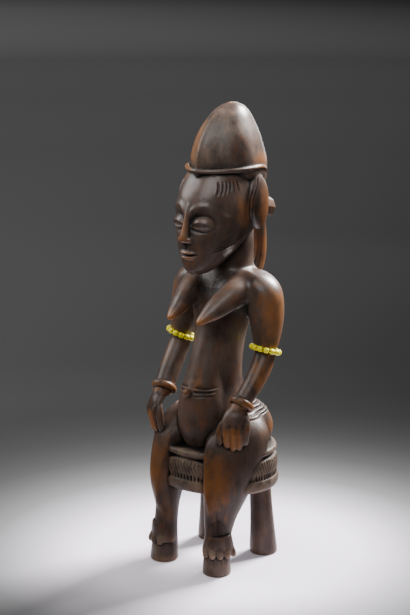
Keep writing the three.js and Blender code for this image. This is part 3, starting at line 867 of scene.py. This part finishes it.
def numberNode(nodes, links, operation, first, second, clamp=False):
    node = nodes.new("ShaderNodeMath")
    node.operation = operation
    node.use_clamp = clamp
    for socket, value in zip(node.inputs, (first, second)):
        if isinstance(value, (int, float)):
            socket.default_value = value
        else:
            links.new(value, socket)
    return node.outputs[0]


def spreadNode(nodes, links, value, low, high):  # 0 at the low value, 1 at the high one
    above = numberNode(nodes, links, "SUBTRACT", value, low)
    return numberNode(nodes, links, "MULTIPLY", above, 1 / (high - low), True)


def mixNode(nodes, links, share, first, second):
    node = nodes.new("ShaderNodeMix")
    node.data_type = "RGBA"
    for socket, value in zip((node.inputs[0], node.inputs[6], node.inputs[7]), (share, first, second)):
        if isinstance(value, (int, float, tuple)):
            socket.default_value = value
        else:
            links.new(value, socket)
    return node.outputs[2]


def scaleNode(nodes, links, color, factor):
    node = nodes.new("ShaderNodeVectorMath")
    node.operation = "SCALE"
    links.new(color, node.inputs[0])
    links.new(factor, node.inputs["Scale"])
    return node.outputs[0]


def splitNode(nodes, links, place):
    node = nodes.new("ShaderNodeSeparateXYZ")
    links.new(place, node.inputs[0])
    return node.outputs


def noiseNode(nodes, links, place, stretch, scale, detail):
    mapping = nodes.new("ShaderNodeMapping")
    mapping.inputs["Scale"].default_value = stretch
    links.new(place, mapping.inputs["Vector"])
    noise = nodes.new("ShaderNodeTexNoise")
    noise.inputs["Scale"].default_value = scale
    noise.inputs["Detail"].default_value = detail
    noise.inputs["Roughness"].default_value = 0.6
    links.new(mapping.outputs[0], noise.inputs["Vector"])
    return noise.outputs["Fac"]


def bumpNode(nodes, links, height, distance, strength, under=None):
    bump = nodes.new("ShaderNodeBump")
    bump.inputs["Strength"].default_value = strength
    bump.inputs["Distance"].default_value = distance * mm
    links.new(height, bump.inputs["Height"])
    if under:
        links.new(under, bump.inputs["Normal"])
    return bump.outputs[0]


# Wood: dark and oiled, with fine grain up the block, worn warmer where hands and feet rub, with dust
# and a painted sheen laid on, painted shade in the hollows and painted light that grows with height

wood = {
    "dark": (0.055, 0.035, 0.027, 1), "plain": (0.15, 0.1, 0.078, 1), "red": (0.15, 0.062, 0.032, 1),
    # the last two colours: dust that also paints a sheen, and a near black for painted shade
    "warm": (0.42, 0.155, 0.036, 1), "dustAndSheenColor": (0.46, 0.34, 0.245, 1), "paintedShadeColor": (0.006, 0.004, 0.0035, 1),
    "redShare": 0.6, "cloudWear": 1.0, "grainWear": 1.2, "warmShare": 0.92, "dustAndSheenShare": 0.8, "grainShare": 0.35,
    "paintedLightLow": 0.52, "paintedLightHigh": 0.54,  # painted light: how light the wood is painted at the floor, and what the upper parts add
    "rough": 0.3, "cloudRough": 0.14, "paintedShadeRough": 0.35, "dustAndSheenRough": 0.25,
    "lowShine": 0.15, "highShine": 0.36, "coat": 0.3, "coatRough": 0.22,
}
woodNoise = {  # stretch, scale and detail
    "grain": ((1, 1, 0.09), 620, 5), "patches": ((1, 1, 0.6), 55, 5),
    "clouds": ((1, 1, 0.7), 140, 6), "fine": ((1, 1, 0.5), 1500, 3),
}


def makeWood():
    material, nodes, links, shader = newMaterial("oiledWood")
    number, spread, mix = (partial(make, nodes, links) for make in (numberNode, spreadNode, mixNode))
    place = nodes.new("ShaderNodeTexCoord").outputs["Object"]
    marks = {}
    for name in ("worn", "paintedShade", "dustAndSheen"):
        mark = nodes.new("ShaderNodeAttribute")
        mark.attribute_name = name
        marks[name] = mark.outputs["Fac"]
    grain, patches, clouds, fine = (noiseNode(nodes, links, place, *values) for values in woodNoise.values())
    plain = mix(spread(patches, 0.35, 0.62), wood["dark"], wood["plain"])
    plain = mix(number("MULTIPLY", spread(clouds, 0.48, 0.7), wood["redShare"]), plain, wood["red"])
    cloudWear = number("MULTIPLY", number("SUBTRACT", clouds, 0.5), wood["cloudWear"])
    grainWear = number("MULTIPLY", number("SUBTRACT", grain, 0.5), wood["grainWear"])
    worn = number("ADD", number("ADD", marks["worn"], cloudWear), grainWear)
    skin = mix(number("MULTIPLY", spread(worn, 0.3, 1.15), wood["warmShare"]), plain, wood["warm"])
    # dust, and a painted sheen on the hair, paler than the wood
    dustAndSheen = number("MULTIPLY", marks["dustAndSheen"], spread(clouds, 0.3, 0.62), True)
    skin = mix(number("MULTIPLY", dustAndSheen, wood["dustAndSheenShare"]), skin, wood["dustAndSheenColor"])
    skin = mix(number("MULTIPLY", spread(grain, 0.42, 0.7), wood["grainShare"]), skin, wood["dark"])
    # painted shade in hollows, creases, under the chin and in the lap
    skin = mix(spread(marks["paintedShade"], 0.12, 0.95), skin, wood["paintedShadeColor"])
    height = splitNode(nodes, links, place)["Z"]
    # painted light: the colour is darker towards the floor and lighter on the upper parts
    paintedLightByHeight = number("ADD", wood["paintedLightLow"], number("MULTIPLY", spread(height, 0.09, 0.17), wood["paintedLightHigh"]))
    links.new(scaleNode(nodes, links, skin, paintedLightByHeight), shader.inputs["Base Color"])
    rough = number("ADD", wood["rough"], number("MULTIPLY", spread(clouds, 0.3, 0.7), wood["cloudRough"]))
    rough = number("ADD", rough, number("MULTIPLY", marks["paintedShade"], wood["paintedShadeRough"]))
    rough = number("ADD", rough, number("MULTIPLY", dustAndSheen, wood["dustAndSheenRough"]), True)
    links.new(rough, shader.inputs["Roughness"])
    handled = spread(height, 0.1, 0.25)  # duller towards the floor
    shine = number("ADD", wood["lowShine"], number("MULTIPLY", handled, wood["highShine"]))
    links.new(shine, shader.inputs["Specular IOR Level"])
    links.new(number("MULTIPLY", handled, wood["coat"]), shader.inputs["Coat Weight"])
    shader.inputs["Coat Roughness"].default_value = wood["coatRough"]
    bump = bumpNode(nodes, links, clouds, 0.5, 0.35)
    bump = bumpNode(nodes, links, grain, 0.25, 0.4, bump)
    bump = bumpNode(nodes, links, fine, 0.12, 0.25, bump)
    links.new(bump, shader.inputs["Normal"])
    return material


carving.data.materials.clear()
carving.data.materials.append(makeWood())
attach(carving, "root")
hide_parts("carved_figure")


# Beads and their threads, each in the place of its own part

beads = {"place": (40.8, 10.6, 171), "lean": -16, "circle": 10.6, "count": 14, "ring": 1.46, "wall": 0.72,
         "length": 2.05, "uneven": 0.02, "thread": 0.36}
# the glow is a faint painted glow that makes the beads look brighter
glass = {"deep": (0.92, 0.78, 0.0, 1), "light": (1.0, 0.93, 0.01, 1), "glow": (1, 0.86, 0, 1), "paintedGlowStrength": 0.085,
         "rough": 0.3, "shine": 0.45, "coat": 0.15, "coatRough": 0.08}
cord = {"dark": (0.08, 0.06, 0.02, 1), "light": (0.24, 0.19, 0.08, 1), "rough": 0.85}


def makeGlass():
    material, nodes, links, shader = newMaterial("yellowGlass")
    place = nodes.new("ShaderNodeTexCoord").outputs["Object"]
    tint = noiseNode(nodes, links, place, (1, 1, 1), 320, 2)
    links.new(mixNode(nodes, links, tint, glass["deep"], glass["light"]), shader.inputs["Base Color"])
    # painted glow
    shader.inputs["Emission Color"].default_value = glass["glow"]
    shader.inputs["Emission Strength"].default_value = glass["paintedGlowStrength"]
    shader.inputs["Roughness"].default_value = glass["rough"]
    shader.inputs["Specular IOR Level"].default_value = glass["shine"]
    shader.inputs["Coat Weight"].default_value = glass["coat"]
    shader.inputs["Coat Roughness"].default_value = glass["coatRough"]
    return material


def makeCord():
    material, nodes, links, shader = newMaterial("twistedCord")
    place = nodes.new("ShaderNodeTexCoord").outputs["Object"]
    twist = noiseNode(nodes, links, place, (1, 1, 1), 1400, 3)
    links.new(mixNode(nodes, links, twist, cord["dark"], cord["light"]), shader.inputs["Base Color"])
    links.new(bumpNode(nodes, links, twist, 0.2, 0.6), shader.inputs["Normal"])
    shader.inputs["Roughness"].default_value = cord["rough"]
    return material


def armletPlace(side, tilt):
    lean, slant = math.radians(beads["lean"]), math.radians(tilt)
    turn = Matrix.Rotation(lean, 4, "X") @ Matrix.Rotation(slant, 4, "Y")
    x, y, z = beads["place"]
    return Matrix.Translation(spot(side * x, y, z)) @ turn


def makeBead():
    bpy.ops.mesh.primitive_torus_add(
        major_segments=32, minor_segments=16, major_radius=beads["ring"] * mm, minor_radius=beads["wall"] * mm
    )
    bead = bpy.context.object
    bpy.ops.object.mode_set(mode="EDIT")
    bpy.ops.transform.resize(value=(1, 1, beads["length"] / beads["wall"] * 0.98))
    bpy.ops.object.mode_set(mode="OBJECT")
    bpy.ops.object.shade_smooth()
    return bead


def makeArmlets():
    beadGlass, twistedCord = makeGlass(), makeCord()
    pattern = makeBead()
    lying = Matrix.Rotation(math.radians(90), 4, "X")
    for side, sideName, tilt in ((1, "left", 4), (-1, "right", 14)):
        place = armletPlace(side, tilt)
        for k in range(beads["count"]):
            angle = k / beads["count"] * 2 * math.pi
            bead = pattern.copy()
            bead.data = pattern.data.copy()
            bpy.context.collection.objects.link(bead)
            bead.name = f"{sideName}Bead{k + 1:02d}"
            size = 1 + beads["uneven"] * math.sin(k * 2.3 + side)
            turn = Matrix.Rotation(angle, 4, "Z") @ Matrix.Translation((beads["circle"] * mm, 0, 0)) @ lying
            bead.data.transform(place @ turn @ Matrix.Diagonal((1, 1, size, 1)))
            bead.data.materials.append(beadGlass)
            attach(bead, "root")
            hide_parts(f"{sideName}_armlet_bead_{k + 1:02d}")
        bpy.ops.mesh.primitive_torus_add(
            major_segments=72, minor_segments=10, major_radius=beads["circle"] * mm, minor_radius=beads["thread"] * mm
        )
        thread = bpy.context.object
        thread.name = f"{sideName}Thread"
        thread.data.transform(place)
        bpy.ops.object.shade_smooth()
        thread.data.materials.append(twistedCord)
        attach(thread, "root")
        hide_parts(f"{sideName}_armlet_thread")
    bpy.data.objects.remove(pattern)
    print("beads and threads made")


makeArmlets()


# Floor, lights and camera

# The floor's colour is a painted pool of light round the figure, fading with distance and darker on one side
floorLook = {"size": 24, "right": (0.785, 0.62), "away": (-0.62, 0.785), "start": 1.44, "nearest": 0.7,
             "evenWithin": 0.27, "evenFade": 5, "darker": -3.2, "least": 0.6, "most": 1.4}
paintedFloorLight = [  # painted pool of light: distance from the figure in metres, and how light the floor is painted there
    (0, 0.95), (0.1, 0.95), (0.125, 0.68), (0.15, 0.4), (0.17, 0.265), (0.19, 0.16), (0.22, 0.09), (0.25, 0.055),
    (0.28, 0.039), (0.31, 0.0285), (0.35, 0.0215), (0.4, 0.0172), (0.6, 0.0144), (2.1, 0.0151), (2.9, 0.0184),
    (3.7, 0.0264), (5.4, 0.09),
]
lamps = {  # place, where it points, size in metres and power in watts
    "windowBehind": ((450, 3185, 2700), (0, 0, 180), 1.5, 800),
    "fillFront": ((420, -850, 1450), (0, 0, 240), 1.1, 12),
    "sheenLeft": ((-1050, -420, 1050), (0, 0, 260), 1, 15),
    "rimBehind": ((-480, 1100, 480), (0, 0, 200), 0.6, 3),
}
view = {"from": (861.9, -1103.2, 535), "at": (-5.6, -4.4, 199.5), "lens": 110.6, "sensor": 36, "clip": (0.05, 60)}
backdrop = {"color": (0.5, 0.5, 0.52, 1), "glow": 0.17, "seenLess": 0.09}  # the camera sees it darker than it lights


def makeFloor():
    bpy.ops.mesh.primitive_plane_add(size=floorLook["size"])
    floor = bpy.context.object
    floor.name = "floor"
    material, nodes, links, shader = newMaterial("floorWithPaintedLight")
    number = partial(numberNode, nodes, links)
    place = nodes.new("ShaderNodeTexCoord").outputs["Object"]
    length = nodes.new("ShaderNodeVectorMath")
    length.operation = "LENGTH"
    links.new(place, length.inputs[0])
    distance, farthest = length.outputs["Value"], paintedFloorLight[-1][0]
    ramp = nodes.new("ShaderNodeValToRGB")
    links.new(number("DIVIDE", distance, farthest), ramp.inputs[0])
    bands = ramp.color_ramp.elements
    while len(bands) < len(paintedFloorLight):
        bands.new(0.5)
    for band, (reach, shade) in zip(bands, paintedFloorLight):
        band.position = reach / farthest
        # the brightest painted light is a little pink
        pale = min(shade / 0.5, 1)
        band.color = (shade, shade * (1 - 0.08 * pale), shade * (1 + 0.02 * pale), 1)
    parts = splitNode(nodes, links, place)

    def along(direction):
        return number("ADD", number("MULTIPLY", parts["X"], direction[0]), number("MULTIPLY", parts["Y"], direction[1]))

    # painted shade that darkens one side of the floor more the farther it lies
    depth = number("MAXIMUM", number("ADD", along(floorLook["away"]), floorLook["start"]), floorLook["nearest"])
    aside = number("DIVIDE", along(floorLook["right"]), depth)
    far = number("MULTIPLY", number("SUBTRACT", distance, floorLook["evenWithin"]), floorLook["evenFade"], True)
    change = number("MULTIPLY", number("MULTIPLY", aside, far), floorLook["darker"])  # painted shade, darker on one side
    light = number("MINIMUM", number("MAXIMUM", number("ADD", 1, change), floorLook["least"]), floorLook["most"])
    links.new(scaleNode(nodes, links, ramp.outputs[0], light), shader.inputs["Base Color"])
    shader.inputs["Roughness"].default_value = 1
    shader.inputs["Specular IOR Level"].default_value = 0
    floor.data.materials.append(material)


def makeLight(name, place, aim, size, power):
    bpy.ops.object.light_add(type="AREA", location=spot(*place))
    light = bpy.context.object
    light.name = name
    light.data.size = size
    light.data.energy = power
    light.rotation_euler = (spot(*aim) - light.location).to_track_quat("-Z", "Y").to_euler()


def makeCamera():
    bpy.ops.object.camera_add(location=spot(*view["from"]))
    camera = bpy.context.object
    camera.rotation_euler = (spot(*view["at"]) - camera.location).to_track_quat("-Z", "Y").to_euler()
    camera.data.lens = view["lens"]
    camera.data.sensor_width = view["sensor"]
    camera.data.clip_start, camera.data.clip_end = view["clip"]
    bpy.context.scene.camera = camera


def makeBackdrop():
    world = bpy.data.worlds.new("studio")
    world.use_nodes = True
    nodes, links = world.node_tree.nodes, world.node_tree.links
    background = nodes["Background"]
    background.inputs["Color"].default_value = backdrop["color"]
    seen = nodes.new("ShaderNodeLightPath").outputs["Is Camera Ray"]
    less = numberNode(nodes, links, "MULTIPLY", seen, -backdrop["seenLess"])
    links.new(numberNode(nodes, links, "ADD", less, backdrop["glow"]), background.inputs["Strength"])
    bpy.context.scene.world = world


makeFloor()
for lampName, values in lamps.items():
    makeLight(lampName, *values)
makeCamera()
makeBackdrop()
print("stage, lights and camera set")
